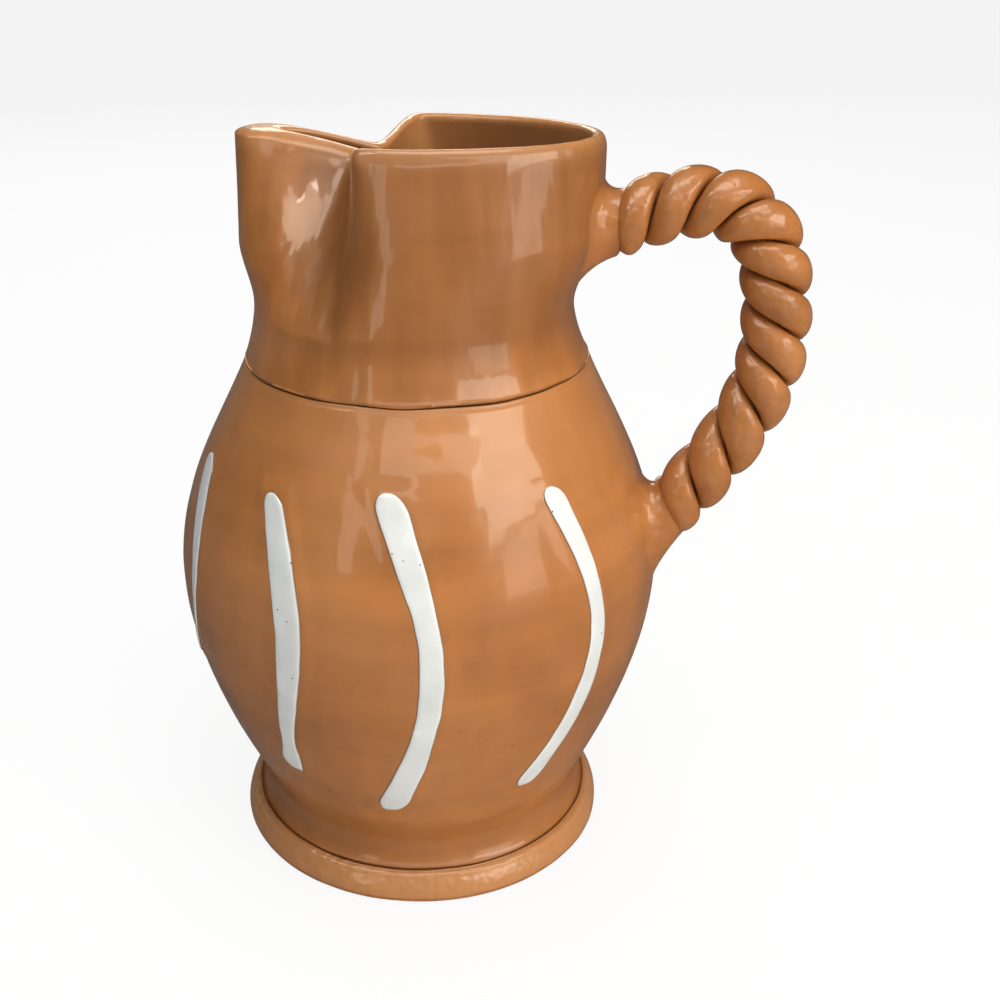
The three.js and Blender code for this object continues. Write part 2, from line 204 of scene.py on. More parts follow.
def addSpots(nodes, links, source, scale, size, share):
    # small round marks: the middles of some cells of a cell pattern
    cells = nodes.new("ShaderNodeTexVoronoi")
    cells.inputs["Scale"].default_value = scale
    links.new(source, cells.inputs["Vector"])
    near = addRange(nodes, links, cells.outputs["Distance"], size, size * 0.6, 0.0, 1.0)
    split = nodes.new("ShaderNodeSeparateColor")
    links.new(cells.outputs["Color"], split.inputs["Color"])
    chosen = addMath(nodes, links, "LESS_THAN", split.outputs["Red"], share)
    return addMath(nodes, links, "MULTIPLY", near, chosen)


def setCoat(shader, look):
    shader.inputs["IOR"].default_value = look["index"]
    shader.inputs["Coat Weight"].default_value = look["coat"]
    shader.inputs["Coat Roughness"].default_value = look["coatRoughness"]


# clear glaze over caramel clay
glaze = {
    "dark": (0.330, 0.118, 0.028),
    "middle": (0.415, 0.155, 0.040),
    "light": (0.470, 0.185, 0.052),
    # dark colour for painted shade in creases and hollows, and for glaze that pools there and in pits
    "poolAndShadeColour": (0.105, 0.036, 0.009),
    # lighter colour for painted light and highlights, and for glaze that runs thin on edges
    "thinGlazeAndLight": (0.540, 0.250, 0.095),
    "cloud": (16.0, 4.0, 0.55, 0.6),  # scale, detail, roughness and warp
    "cloudStops": (0.30, 0.52, 0.74),
    "streaks": (5.0, 5.0, 95.0),
    "streakDetail": 3.0,
    "streakTone": (0.90, 1.07),
    # upright marks of pulled clay: closeness, depth and shade
    "bellyPulls": ((95.0, 95.0, 13.0), 0.34, (0.96, 1.03)),
    "neckPulls": ((120.0, 120.0, 9.0), 0.56, (0.86, 1.08)),
    "ropePulls": ((95.0, 95.0, 13.0), 0.34, (0.95, 1.04)),
    "pullDetail": 1.6,
    "ripple": (62.0, 0.10),  # closeness and depth
    "ropeRipple": (240.0, 0.52),
    "rippleDetail": 1.0,
    "relief": 0.0012,
    "grain": (900.0, 0.05, 0.0002),  # closeness, depth and height
    "pits": (62.0, 0.040, 0.07),  # closeness, size and the share that shows
    "pitBump": (0.5, 0.0004),
    "patches": (48.0, 3.0),
    "roughness": (0.26, 0.40),
    "index": 1.5,
    "coat": 0.5,
    "coatRoughness": 0.06,
}


def makeGlaze(name, pulls, ripple):
    material, nodes, links, shader = newMaterial(name)
    place = nodes.new("ShaderNodeTexCoord").outputs["Object"]
    cloud = addNoise(nodes, links, place, *glaze["cloud"])
    shades = glaze["dark"], glaze["middle"], glaze["light"]
    colour = addRamp(nodes, links, cloud, list(zip(glaze["cloudStops"], shades)))
    # faint turning streaks round the pot, upright ones where the clay was pulled
    closeness, pullDepth, pullTone = pulls
    ringwise = addStretch(nodes, links, place, glaze["streaks"])
    streak = addNoise(nodes, links, ringwise, 1.0, glaze["streakDetail"])
    upright = addStretch(nodes, links, place, closeness)
    pulled = addNoise(nodes, links, upright, 1.0, glaze["pullDetail"])
    for marks, shade in ((streak, glaze["streakTone"]), (pulled, pullTone)):
        tone = nodes.new("ShaderNodeCombineColor")
        level = addRange(nodes, links, marks, *noiseSpan, *shade)
        for channel in ("Red", "Green", "Blue"):
            links.new(level, tone.inputs[channel])
        colour = addMix(nodes, links, 1.0, colour, tone.outputs["Color"], "MULTIPLY")
    # painted shade in creases, where glaze also gathers, dark pooled glaze in pits, and painted light
    # on edges and lit faces, where glaze also runs thin
    pits = addSpots(nodes, links, place, *glaze["pits"])
    colour = addMix(nodes, links, addAttribute(nodes, "thinGlazeAndLight"), colour, glaze["thinGlazeAndLight"])
    colour = addMix(nodes, links, addAttribute(nodes, "poolAndShade"), colour, glaze["poolAndShadeColour"])
    colour = addMix(nodes, links, pits, colour, glaze["poolAndShadeColour"])
    links.new(colour, shader.inputs["Base Color"])
    patchy = addNoise(nodes, links, place, *glaze["patches"])
    rough = addRange(nodes, links, patchy, *noiseSpan, *glaze["roughness"])
    links.new(rough, shader.inputs["Roughness"])
    setCoat(shader, glaze)
    # pulled clay, slow ripples of the glaze, fine grain, and the pits
    rippleScale, rippleDepth = ripple
    grainScale, grainDepth, grainHeight = glaze["grain"]
    drawn = addBump(nodes, links, pulled, pullDepth, glaze["relief"])
    waves = addNoise(nodes, links, place, rippleScale, glaze["rippleDetail"])
    rippled = addBump(nodes, links, waves, rippleDepth, glaze["relief"], drawn)
    fine = addNoise(nodes, links, place, grainScale)
    grain = addBump(nodes, links, fine, grainDepth, grainHeight, rippled)
    sunk = addMath(nodes, links, "MULTIPLY", pits, -1.0)
    surface = addBump(nodes, links, sunk, *glaze["pitBump"], grain)
    links.new(surface, shader.inputs["Normal"])
    links.new(rippled, shader.inputs["Coat Normal"])
    return material


# white slip under the same glaze
slip = {
    "white": (0.715, 0.735, 0.720),
    "tinted": (0.645, 0.665, 0.650),
    "rimTone": (0.200, 0.085, 0.030),
    "hole": (0.045, 0.035, 0.030),
    "cloud": (65.0, 3.0),
    "cloudStops": (0.35, 0.60),
    "holes": (250.0, 0.085, 0.42),  # closeness, size and the share that shows
    "patches": (90.0, 2.0),
    "roughness": (0.14, 0.28),
    "index": 1.5,
    "coat": 0.6,
    "coatRoughness": 0.04,
    "ripple": (210.0, 0.12, 0.0006),  # closeness, depth and height
}


def makeSlip():
    material, nodes, links, shader = newMaterial("whiteSlip")
    place = nodes.new("ShaderNodeTexCoord").outputs["Object"]
    cloud = addNoise(nodes, links, place, *slip["cloud"])
    shades = slip["tinted"], slip["white"]
    colour = addRamp(nodes, links, cloud, list(zip(slip["cloudStops"], shades)))
    holes = addSpots(nodes, links, place, *slip["holes"])
    colour = addMix(nodes, links, addAttribute(nodes, "poolAndShade"), colour, slip["rimTone"])
    colour = addMix(nodes, links, holes, colour, slip["hole"])
    links.new(colour, shader.inputs["Base Color"])
    patchy = addNoise(nodes, links, place, *slip["patches"])
    rough = addRange(nodes, links, patchy, *noiseSpan, *slip["roughness"])
    links.new(rough, shader.inputs["Roughness"])
    setCoat(shader, slip)
    rippleScale, rippleDepth, rippleHeight = slip["ripple"]
    waves = addNoise(nodes, links, place, rippleScale)
    ripple = addBump(nodes, links, waves, rippleDepth, rippleHeight)
    links.new(ripple, shader.inputs["Normal"])
    return material


bellyMaterial = makeGlaze("bellyGlaze", glaze["bellyPulls"], glaze["ripple"])
neckMaterial = makeGlaze("neckGlaze", glaze["neckPulls"], glaze["ripple"])
ropeMaterial = makeGlaze("ropeGlaze", glaze["ropePulls"], glaze["ropeRipple"])
slipMaterial = makeSlip()
print("materials made")


# rings of points, in millimetres, become a smooth mesh in metres;
# a point may carry a fourth number, pooled glaze with painted shade, and a fifth, painted light with
# thin glaze
def ringMesh(name, rings, joined=False, capped=False):
    count = len(rings[0])
    points = [p for ring in rings for p in ring]
    faces = []
    for row in range(len(rings) if joined else len(rings) - 1):
        after = (row + 1) % len(rings)
        for k in range(count):
            n = (k + 1) % count
            faces.append((row * count + k, row * count + n, after * count + n, after * count + k))
    if capped:
        last = (len(rings) - 1) * count
        faces.append(tuple(range(count)))
        faces.append(tuple(range(last, last + count)))
    mesh = bpy.data.meshes.new(name)
    mesh.from_pydata([(p[0] * mm, p[1] * mm, p[2] * mm) for p in points], [], faces)
    for key, slotNumber in (("poolAndShade", 3), ("thinGlazeAndLight", 4)):
        layer = mesh.attributes.new(key, "FLOAT", "POINT")
        values = [p[slotNumber] if len(p) > slotNumber else 0.0 for p in points]
        layer.data.foreach_set("value", values)
    work = bmesh.new()
    work.from_mesh(mesh)
    bmesh.ops.recalc_face_normals(work, faces=work.faces)
    work.to_mesh(mesh)
    work.free()
    mesh.shade_smooth()
    return mesh


def addPiece(name, mesh, material, node):
    piece = bpy.data.objects.new(name, mesh)
    bpy.context.collection.objects.link(piece)
    mesh.materials.append(material)
    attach(piece, "root")
    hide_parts(node)
    return piece


# hand-made clay is never quite even; it only moves inwards, so the size of the CAD part holds
clay = {
    "wall": 5.2,
    "seam": 0.3,
    "floor": 9.0,
    # depth and size of slow dents, of dimples and of turning rings
    "dents": 0.46,
    "dentSize": 24.0,
    "dentFlatness": 0.55,
    "dentStart": (3, 6, 0),
    "dimples": 0.12,
    "dimpleSize": 8.5,
    "dimpleFlatness": 0.8,
    "dimpleStart": (9, 1, 4),
    "rings": 0.07,
    "ringSize": 4.6,
    "ringTurn": 0.6,
    "ringStart": 0.5,
    # wander of the seams: height, times more at the neck, closeness, then reach and start of each
    "wander": 0.35,
    "neckWander": 1.3,
    "wanderCloseness": 4.0,
    "footSeam": (7.0, 2.3),
    "neckSeam": (6.0, 7.9),
    "flatBelow": (2.0, 8.0),
}


def noiseAt(p, flatness, size, start):
    return noise.noise(Vector((p[0], p[1], p[2] * flatness)) / size + Vector(start))


def dentAt(p, share=1.0):
    # depth in millimetres at a place in millimetres
    slow = noiseAt(p, clay["dentFlatness"], clay["dentSize"], clay["dentStart"])
    fast = noiseAt(p, clay["dimpleFlatness"], clay["dimpleSize"], clay["dimpleStart"])
    around = math.atan2(p[1], p[0]) * clay["ringTurn"]
    turning = noise.noise(Vector((clay["ringStart"], around, p[2] / clay["ringSize"])))
    depth = clay["dents"] * (0.5 + 0.5 * slow) + clay["dimples"] * (0.5 + 0.5 * fast)
    return max(0.0, share * (depth + clay["rings"] * (0.5 + 0.5 * turning)))


def knead(mesh, share=1.0):
    normals = [v.normal.copy() for v in mesh.vertices]
    for v, normal in zip(mesh.vertices, normals):
        if v.co.z > 0.02 * mm:  # the standing face stays flat
            v.co -= normal * (mm * dentAt(v.co / mm, share))
    mesh.update()


def seamShift(x, y, z):
    # the two luted seams wander a little up and down round the pot
    turn = math.atan2(y, x)
    around = Vector((math.cos(turn), math.sin(turn), 0)) * clay["wanderCloseness"]
    (footReach, footStart), (neckReach, neckStart) = clay["footSeam"], clay["neckSeam"]
    low = hump(z, foot["height"], footReach) * ease(z, *clay["flatBelow"])
    low *= noise.noise(around + Vector((0, 0, footStart)))
    high = hump(z, seatHeight, neckReach) * noise.noise(around + Vector((0, 0, neckStart)))
    return clay["wander"] * (low + clay["neckWander"] * high)


def turned(profile, steps):
    rings = []
    for p in profile:
        ring = []
        for k in range(steps):
            turn = 2 * math.pi * k / steps
            x, y = p[0] * math.cos(turn), p[0] * math.sin(turn)
            ring.append((x, y, p[1] + seamShift(x, y, p[1]), *p[2:]))
        rings.append(ring)
    return rings


foot = {
    "radius": 67.1,
    "height": 11.0,
    "edge": 2.2,
    "sideHeight": 8.8,
    "lean": 2.7,
    "bevelBend": 0.7,
    "topInset": 5.1,
    "lip": 0.28,
    "restInset": 3.0,
    "seamDepth": 3.0,
    "steps": 220,
    "edgeSteps": 8,
    "sideSteps": 12,
    "lipSteps": 6,
    "dents": 0.9,
    # painted light on the side and the ledge, painted highlights on its edge and the lip; pooled glaze
    # and painted shade in the seam
    "sideLight": 0.7,
    "ledgeLight": 0.72,
    "edgeHighlight": 0.2,
    "lipHighlight": 0.4,
    "seamPoolAndShade": 0.15,
}

belly = {
    "flareSetback": 0.45,
    "flareGap": 0.05,
    "flareEdge": 0.08,
    "flareSpread": 3.2,
    "flareSweep": 0.3,
    "plugInset": 2.8,
    "ankleRise": 8.7,
    "ankleEase": 5.6,
    "radius": 83.5,
    "rise": 85.3,
    "lowerFullness": 40.0,
    "upperFullness": 30.0,
    "shoulderRise": 73.2,
    "shoulderRun": (6.6, -16.7),
    "seatRadius": 57.5,
    "grooveEdge": 0.9,
    "floorFillet": 10.0,
    "plugLip": 4.0,
    "seamLip": 1.5,
    "steps": 330,
    "edgeSteps": 5,
    "flareSteps": 22,
    "curveSteps": 70,
    "grooveSteps": 6,
    "insideSteps": 40,
    "filletSteps": 10,
    # pooled glaze and painted shade in the foot seam and the neck seam, painted shade round the ankle
    "seamPoolAndShade": 0.1,
    "ankleShade": 0.14,
    "ankleReach": 7.0,
    "groovePoolAndShade": 0.45,
    # painted highlights on the flare's edge and the groove's edge, painted light on the shoulder
    "flareHighlight": 0.2,
    "shoulderLight": 0.22,
    "shoulderReach": 20.0,
    "grooveHighlight": 0.35,
}

footTop = foot["radius"] - foot["topInset"]
flareRadius = footTop - belly["flareSetback"]
ankleRadius = flareRadius - belly["flareSpread"]
plugRadius = ankleRadius - belly["plugInset"]
ankleHeight = foot["height"] + belly["ankleRise"]
bellyHeight = ankleHeight + belly["rise"]
seatHeight = bellyHeight + belly["shoulderRise"]
seatRadius = belly["seatRadius"]

flareStart = foot["height"] - foot["lip"] + belly["flareGap"]
flareFoot = flareStart + belly["flareEdge"]
flareCurve = [
    (flareRadius, flareFoot),
    (ankleRadius, mix(flareFoot, ankleHeight, belly["flareSweep"])),
    (ankleRadius, ankleHeight),
]
lowerCurve = [
    (ankleRadius, ankleHeight),
    (ankleRadius, ankleHeight + belly["ankleEase"]),
    (belly["radius"], bellyHeight - belly["lowerFullness"]),
    (belly["radius"], bellyHeight),
]
upperCurve = [
    (belly["radius"], bellyHeight),
    (belly["radius"], bellyHeight + belly["upperFullness"]),
    (seatRadius + belly["shoulderRun"][0], seatHeight + belly["shoulderRun"][1]),
    (seatRadius, seatHeight),
]


def along(curve, steps, depth=0.0):
    points = []
    for i in range(steps + 1):
        t = i / steps
        p = bezier(curve, t)
        if depth:
            q = bezier(curve, min(1.0, t + 0.001)) - bezier(curve, max(0.0, t - 0.001))
            q.normalize()
            p = p + Vector((-q.y, q.x)) * depth
        points.append((p.x, p.y))
    return points


bellySamples = along(lowerCurve, 200) + along(upperCurve, 200)[1:]
bellyHeights = [z for r, z in bellySamples]


def bellyRadiusAt(z):
    low, high = bracket(bellyHeights, z)
    (r0, z0), (r1, z1) = bellySamples[low], bellySamples[high]
    return mix(r0, r1, (z - z0) / (z1 - z0))


def bellyFacing(z):
    slope = bellyRadiusAt(z + 0.5) - bellyRadiusAt(z - 0.5)
    return Vector((1.0, -slope)).normalized()


def makeFootRing():
    bore = plugRadius + clay["seam"]
    radius, edge, lip = foot["radius"], foot["edge"], foot["lip"]
    seat = foot["height"] - lip
    profile = [(bore, 0.0), (radius - edge - foot["restInset"], 0.0)]
    profile += arc((radius - edge, edge), edge, -90, 0, foot["edgeSteps"])
    sideTop = Vector((radius - foot["lean"], foot["sideHeight"]))
    side = [(radius, edge), (radius, mix(edge, foot["sideHeight"], 0.5)), sideTop]
    # painted light on the side
    profile += [(r, z, 0.0, foot["sideLight"]) for r, z in along(side, foot["sideSteps"])[1:-1]]
    # a soft edge, a sloping ledge, and a little lip beside the seam
    ledgeTop = Vector((footTop + lip, foot["height"] - lip * 0.9))
    bend = sideTop.lerp(ledgeTop, 0.5) + Vector((foot["bevelBend"], foot["bevelBend"]))
    ledge = along([sideTop, bend, ledgeTop], foot["sideSteps"])[:-1]
    # painted light on the ledge, with a painted highlight along its edge
    for i, (r, z) in enumerate(ledge):
        profile.append((r, z, 0.0, foot["ledgeLight"] + foot["edgeHighlight"] * hump(i, 1, 2.5)))
    # a painted highlight on the lip, and pooled glaze with painted shade towards the seam
    for i, (r, z) in enumerate(arc((footTop, seat), lip, 0, 180, foot["lipSteps"])):
        poolAndShade, thinGlazeAndLight = foot["seamPoolAndShade"] * ease(i, 3, 6), foot["lipHighlight"] * hump(i, 2, 1.5)
        profile.append((r, z, poolAndShade, thinGlazeAndLight))
    for r in (footTop - foot["seamDepth"], bore):
        profile.append((r, seat, foot["seamPoolAndShade"]))
    mesh = ringMesh("footRing", turned(profile, foot["steps"]), joined=True)
    knead(mesh, foot["dents"])
    return mesh


def makeBelly():
    edge, groove, wall = belly["flareEdge"], belly["grooveEdge"], clay["wall"]
    seamPoolAndShade, edgeSteps = belly["seamPoolAndShade"], belly["edgeSteps"]
    profile = [(plugRadius - belly["plugLip"], 0.0), (plugRadius, 0.0)]
    # pooled glaze and painted shade in the foot seam
    for r in (plugRadius, flareRadius - edge - belly["seamLip"]):
        profile.append((r, flareStart, seamPoolAndShade))
    flareEdge = arc((flareRadius - edge, flareFoot), edge, -90, 0, edgeSteps)
    # a painted highlight on the flare's edge
    for i, (r, z) in enumerate(flareEdge):
        thinGlazeAndLight = belly["flareHighlight"] * hump(i, edgeSteps, 1.5)
        profile.append((r, z, seamPoolAndShade * (1 - i / edgeSteps), thinGlazeAndLight))
    flare = along(flareCurve, belly["flareSteps"])[1:]
    # painted shade round the ankle
    for r, z in flare + along(lowerCurve, belly["curveSteps"])[1:]:
        profile.append((r, z, belly["ankleShade"] * hump(z, ankleHeight + 2, belly["ankleReach"])))
    # painted light on the shoulder
    for r, z in along(upperCurve, belly["curveSteps"])[1:]:
        if z < seatHeight - groove - 0.05:
            thinGlazeAndLight = belly["shoulderLight"] * hump(z, seatHeight - 6, belly["shoulderReach"])
            profile.append((r, z, 0.0, thinGlazeAndLight))
    # a painted highlight on the groove's edge, and pooled glaze with painted shade in the groove
    lip = arc((seatRadius - groove, seatHeight - groove), groove, 0, 90, belly["grooveSteps"])
    for i, (r, z) in enumerate(lip):
        profile.append((r, z, belly["groovePoolAndShade"] * ease(i, 3, 6), belly["grooveHighlight"]))
    # down the inside to the floor
    profile.append((seatRadius - wall, seatHeight))
    profile += list(reversed(along(upperCurve, belly["insideSteps"], wall)))
    profile += list(reversed(along(lowerCurve, belly["insideSteps"], wall)))[1:]
    fillet = belly["floorFillet"]
    corner = (ankleRadius - wall - fillet, clay["floor"] + fillet)
    profile += arc(corner, fillet, 0, -90, belly["filletSteps"])
    mesh = ringMesh("belly", turned(profile, belly["steps"]), capped=True)
    knead(mesh)
    for v in mesh.vertices:
        lift = swellAt(v.co / mm)
        if lift:
            v.co += Vector((v.co.x, v.co.y, 0)).normalized() * (lift * mm)
    mesh.update()
    return mesh


neck = {
    "height": 72.4,
    "waistRise": 18.8,
    "waistBack": 51.8,
    "waistFront": 53.6,
    "waistBend": 1.6,
    "mouthBack": 60.2,
    "mouthHalfWidth": 40.0,
    "pinchOnset": 1.2,
    "spoutReach": 58.9,
    "backSpread": 0.5,
    "spoutSpread": 0.38,
    "foldX": -14.2,
    "channelTurn": 1.9,
    "mouthTurn": 2.3,
    "foldFade": 10.0,
    "throatHalfWidth": 12.6,
    "noseHalfWidth": 10.4,
    "noseLength": 9.0,
    "noseFill": 2.2,
    "channelFill": 1.5,
    "grooveEdge": 0.45,
    "rimDip": 6.6,
    "dipBend": 1.3,
    "lobeColumns": 76,
    "spoutColumns": 52,
    "rows": 70,
    "rimSteps": 22,
    "rimTrim": 0.2,
    "rimRoll": 2.4,
    "outerSquare": 0.92,
    "innerSquare": 0.75,
    "tightRim": (1.1, 1.6),  # where along the fold and spout the rim turns tight
    "grooveSteps": 6,
    # painted shade on the lobe, left off along the spout; painted shade, with some pooled glaze, in
    # the fold and the seam
    "lobeShade": 0.38,
    "spoutUnshaded": 0.95,
    "spoutUnshadedFrom": (1.15, 1.5),
    "foldPoolAndShade": 0.55,
    "foldShadeInset": (2.0, 0.5),  # at the rim, and more of it for each step of softness
    "foldShadeReach": (3.0, 0.6),
    "foldShadeRise": (0.1, 0.7),
    "groovePoolAndShade": 0.45,
    # painted highlights on the seam's edge and on the rim, painted light below the rim and inside
    "grooveHighlight": 0.2,
    "upperLight": 0.3,
    "rimHighlight": 0.4,
    "insideLight": 0.9,
}

waistHeight = seatHeight + neck["waistRise"]
rimHeight = seatHeight + neck["height"]


def neckShape(height, depth):
    fall = clamp((waistHeight - height) / neck["waistRise"])
    rise = clamp((height - waistHeight) / (rimHeight - waistHeight))
    below = fall ** neck["waistBend"]
    back = mix(neck["waistBack"], neck["mouthBack"], ease(rise, 0, neck["backSpread"]))
    front = mix(neck["waistFront"], neck["spoutReach"], ease(rise, 0, neck["spoutSpread"]))
    waistHalf = (neck["waistBack"] + neck["waistFront"]) / 2
    half = mix(waistHalf, neck["mouthHalfWidth"], rise ** neck["pinchOnset"])
    # inside, the tip of the spout is filled with clay
    fill = depth * neck["noseFill"] * ease(rise, 0.2, 0.9)
    return (
        mix(back, seatRadius, below) - depth,
        mix(front, seatRadius, below) - depth - fill,
        mix(half, seatRadius, below) - depth,
        rise,
    )


def foldedAt(distance, softening=0.0):
    inner, outer = neck["channelTurn"] + softening, neck["mouthTurn"] + softening
    own = inner if distance < 0 else outer
    return (outer - own * math.tanh(distance / own)) / (inner + outer)


def neckPoint(share, side, height, depth=0.0):
    back, front, half, rise = neckShape(height, depth)
    fold = neck["foldX"] + depth
    x = mix(back, fold, share) if share < 1 else mix(fold, -front, share - 1)
    front0 = neckShape(height, 0.0)[1] - depth
    middle, halfLength = (back - front0) / 2, (back + front0) / 2
    oval = half * math.sqrt(max(0.0, 1 - ((x - middle) / halfLength) ** 2))
    noseTurn = clamp(1 - (x + front) / neck["noseLength"])
    wide = mix(neck["throatHalfWidth"], neck["noseHalfWidth"], max(0.0, share - 1))
    channel = (wide - depth * neck["channelFill"]) * math.sqrt(max(0.0, 1 - noseTurn ** 2))
    folded = foldedAt(x - fold, mix(neck["foldFade"], 0, rise)) * rise
    return x, side * mix(oval, channel, folded)


def rimHeightAt(share, side):
    x = neckPoint(share, side, rimHeight)[0]
    run = clamp((x + neck["spoutReach"]) / (neck["foldX"] + neck["spoutReach"]))
    dip = neck["rimDip"] * foldedAt(x - neck["foldX"]) * run ** neck["dipBend"]
    return rimHeight - neck["rimTrim"] - dip


def neckColumns():
    # from the back of the mouth (0) by the fold (1) to the spout's tip (2), and back on the other side
    half = []
    for base, steps in ((0, neck["lobeColumns"]), (1, neck["spoutColumns"])):
        half += [base + (1 - math.cos(math.pi * i / steps)) / 2 for i in range(steps)]
    half.append(2.0)
    return [(s, 1) for s in half] + [(s, -1) for s in reversed(half[1:-1])]


def makeNeck():
    columns = neckColumns()
    wall, groove, roll = clay["wall"], neck["grooveEdge"], neck["rimRoll"]
    tops = [rimHeightAt(s, side) - wall / 2 for s, side in columns]

    def ring(share, depth, lift=0.0, poolAndShade=0.0, thinGlazeAndLight=0.0, spoutLift=None):
        height = mix(seatHeight, rimHeight, share)
        rise = neckShape(height, 0)[3]
        soft = mix(neck["foldFade"], 0, rise)
        # where the painted shade of the fold's valley lies, with pooled glaze
        (inset, softInset), (reach, softReach) = neck["foldShadeInset"], neck["foldShadeReach"]
        valley, width = neck["foldX"] - inset - softInset * soft, reach + softReach * soft
        depthShare = ease(rise, *neck["foldShadeRise"])
        points = []
        for (s, side), top in zip(columns, tops):
            own = lift
            if spoutLift is not None:
                own = mix(lift, spoutLift, ease(s, *neck["tightRim"]))
            x, y = neckPoint(s, side, height + min(0.0, own), depth)
            # painted shade on the lobe, left off along the spout, deeper in the fold where glaze also
            # pools
            lobeAndFoldShade = neck["lobeShade"] * (1 - neck["spoutUnshaded"] * ease(s, *neck["spoutUnshadedFrom"]))
            lobeAndFoldShade = mix(lobeAndFoldShade, neck["foldPoolAndShade"], hump(x, valley, width) * depthShare)
            lobeAndFoldShade *= ease(share, 0, 0.25) * (1 - clamp(2 * depth / wall))
            z = mix(seatHeight, top, share) + own
            points.append((x, y, z + seamShift(x, y, z), max(poolAndShade, lobeAndFoldShade), thinGlazeAndLight))
        return points

    rings = []
    for i in range(neck["grooveSteps"], -1, -1):
        turn = i / neck["grooveSteps"] * math.pi / 2
        depth, lift = groove - groove * math.cos(turn), groove - groove * math.sin(turn)
        # a painted highlight on the seam's edge, and pooled glaze with painted shade in the seam
        poolAndShade, thinGlazeAndLight = neck["groovePoolAndShade"] * ease(i, 3, 6), neck["grooveHighlight"] * hump(i, 1, 1.5)
        rings.append(ring(0, depth, lift, poolAndShade, thinGlazeAndLight))
    for row in range(1, neck["rows"] + 1):
        share = mix(groove / neck["height"], 1 - roll / neck["height"], row / neck["rows"])
        # painted light just below the rim
        rings.append(ring(share, 0, thinGlazeAndLight=neck["upperLight"] * ease(share, 0.92, 1.0)))
    # over the rim: a wide roll outside and a tighter one inside
    for step in range(1, neck["rimSteps"]):
        turn = step / neck["rimSteps"] * math.pi
        outside = turn < math.pi / 2
        square = neck["outerSquare"] if outside else neck["innerSquare"]
        drop = roll if outside else 0.0
        over = math.copysign(abs(math.cos(turn)) ** square, math.cos(turn))
        lift = (drop + wall / 2) * math.sin(turn) ** square - drop
        tight = wall / 2 * math.sin(turn) ** neck["innerSquare"]
        # painted light and highlight over the rim
        thinGlazeAndLight = neck["upperLight"] + neck["rimHighlight"] * math.sin(turn)
        rings.append(ring(1, wall / 2 * (1 - over), lift, thinGlazeAndLight=thinGlazeAndLight, spoutLift=tight))
    for row in range(neck["rows"], 0, -1):
        # painted light inside
        rings.append(ring(row / neck["rows"], wall, thinGlazeAndLight=neck["insideLight"]))
    rings.append(ring(0, wall, -0.02))
    rings.append(ring(0, groove + 0.4, -0.02, 1.0))
    mesh = ringMesh("neckSpout", rings, joined=True)
    knead(mesh)
    return mesh


# rope handle of two twisted strands
rope = {
    "radius": 11.5,
    "endRadius": 11.0,
    "pitch": 24.2,
    "endPitch": 31.3,
    "start": -1.05,
    "flatness": 0.16,
    "span": 0.985,
    "reach": 115.3,
    "reachRise": 11.3,
    "upperRootDrop": 29.1,
    "lowerRootDrop": 57.4,
    "crownRise": (36.8, 17.0),
    "crownFall": 45.0,
    "haunchFall": 22.5,
    "lowerRun": (20.0, 27.0),
    "sides": 28,
    "stepsPerTurn": 46,
    "curveSteps": 300,
    "slack": 0.16,
    "slackRun": (0.62, 0.86),
    "upperEnds": (6.0, 0.5),
    "lowerEnd": -5.0,
    "upperShear": 0.05,
    "lowerShear": 0.45,
    "shearRun": 10.0,
    "upperRound": 6.0,
    "lowerRound": 8.0,
    "dents": 0.45,
    # painted shade with pooled glaze in the grooves between the strands, painted light on their crests
    "groovePoolAndShade": 0.35,
    "grooveFrom": 0.86,
    "crestLight": 0.12,
    "crestTo": 0.45,
}

upperRootHeight = rimHeight - rope["upperRootDrop"]
lowerRootHeight = seatHeight - rope["lowerRootDrop"]
upperRoot = Vector((neckPoint(0, 1, upperRootHeight)[0], upperRootHeight))
lowerRoot = Vector((bellyRadiusAt(lowerRootHeight), lowerRootHeight))
outermost = Vector((rope["reach"], seatHeight + rope["reachRise"]))
crownCurve = [
    upperRoot, upperRoot + Vector(rope["crownRise"]),
    outermost + Vector((0, rope["crownFall"])), outermost]
haunchCurve = [
    outermost, outermost - Vector((0, rope["haunchFall"])),
    lowerRoot + Vector(rope["lowerRun"]), lowerRoot]
curveSteps = rope["curveSteps"]
ropePoints = [bezier(crownCurve, i / curveSteps) for i in range(curveSteps)]
ropePoints += [bezier(haunchCurve, i / curveSteps) for i in range(curveSteps + 1)]
ropeReach = [0.0]
for a, b in zip(ropePoints, ropePoints[1:]):
    ropeReach.append(ropeReach[-1] + (b - a).length)
ropeLength = ropeReach[-1]


def ropeFrame(distance):
    # place, then the directions out of the bend, sideways and along
    inside = clamp(distance, 0.0, ropeLength)
    low, high = bracket(ropeReach, inside)
    share = (inside - ropeReach[low]) / (ropeReach[high] - ropeReach[low])
    before, after = max(0, low - 4), min(len(ropePoints) - 1, high + 4)
    heading = (ropePoints[after] - ropePoints[before]).normalized()
    flat = ropePoints[low].lerp(ropePoints[high], share) + heading * (distance - inside)
    return (
        Vector((flat.x, 0, flat.y)),
        Vector((-heading.y, 0, heading.x)),
        Vector((0, 1, 0)),
        Vector((heading.x, 0, heading.y)),
    )


def ropeTurnAt(distance):
    turns = distance * mix(1 / rope["pitch"], 1 / rope["endPitch"], distance / ropeLength / 2)
    turns -= rope["slack"] * ease(distance / ropeLength, *rope["slackRun"])
    return rope["start"] + 2 * math.pi * turns


def ropeRadiusAt(distance):
    return mix(rope["radius"], rope["endRadius"], distance / ropeLength)


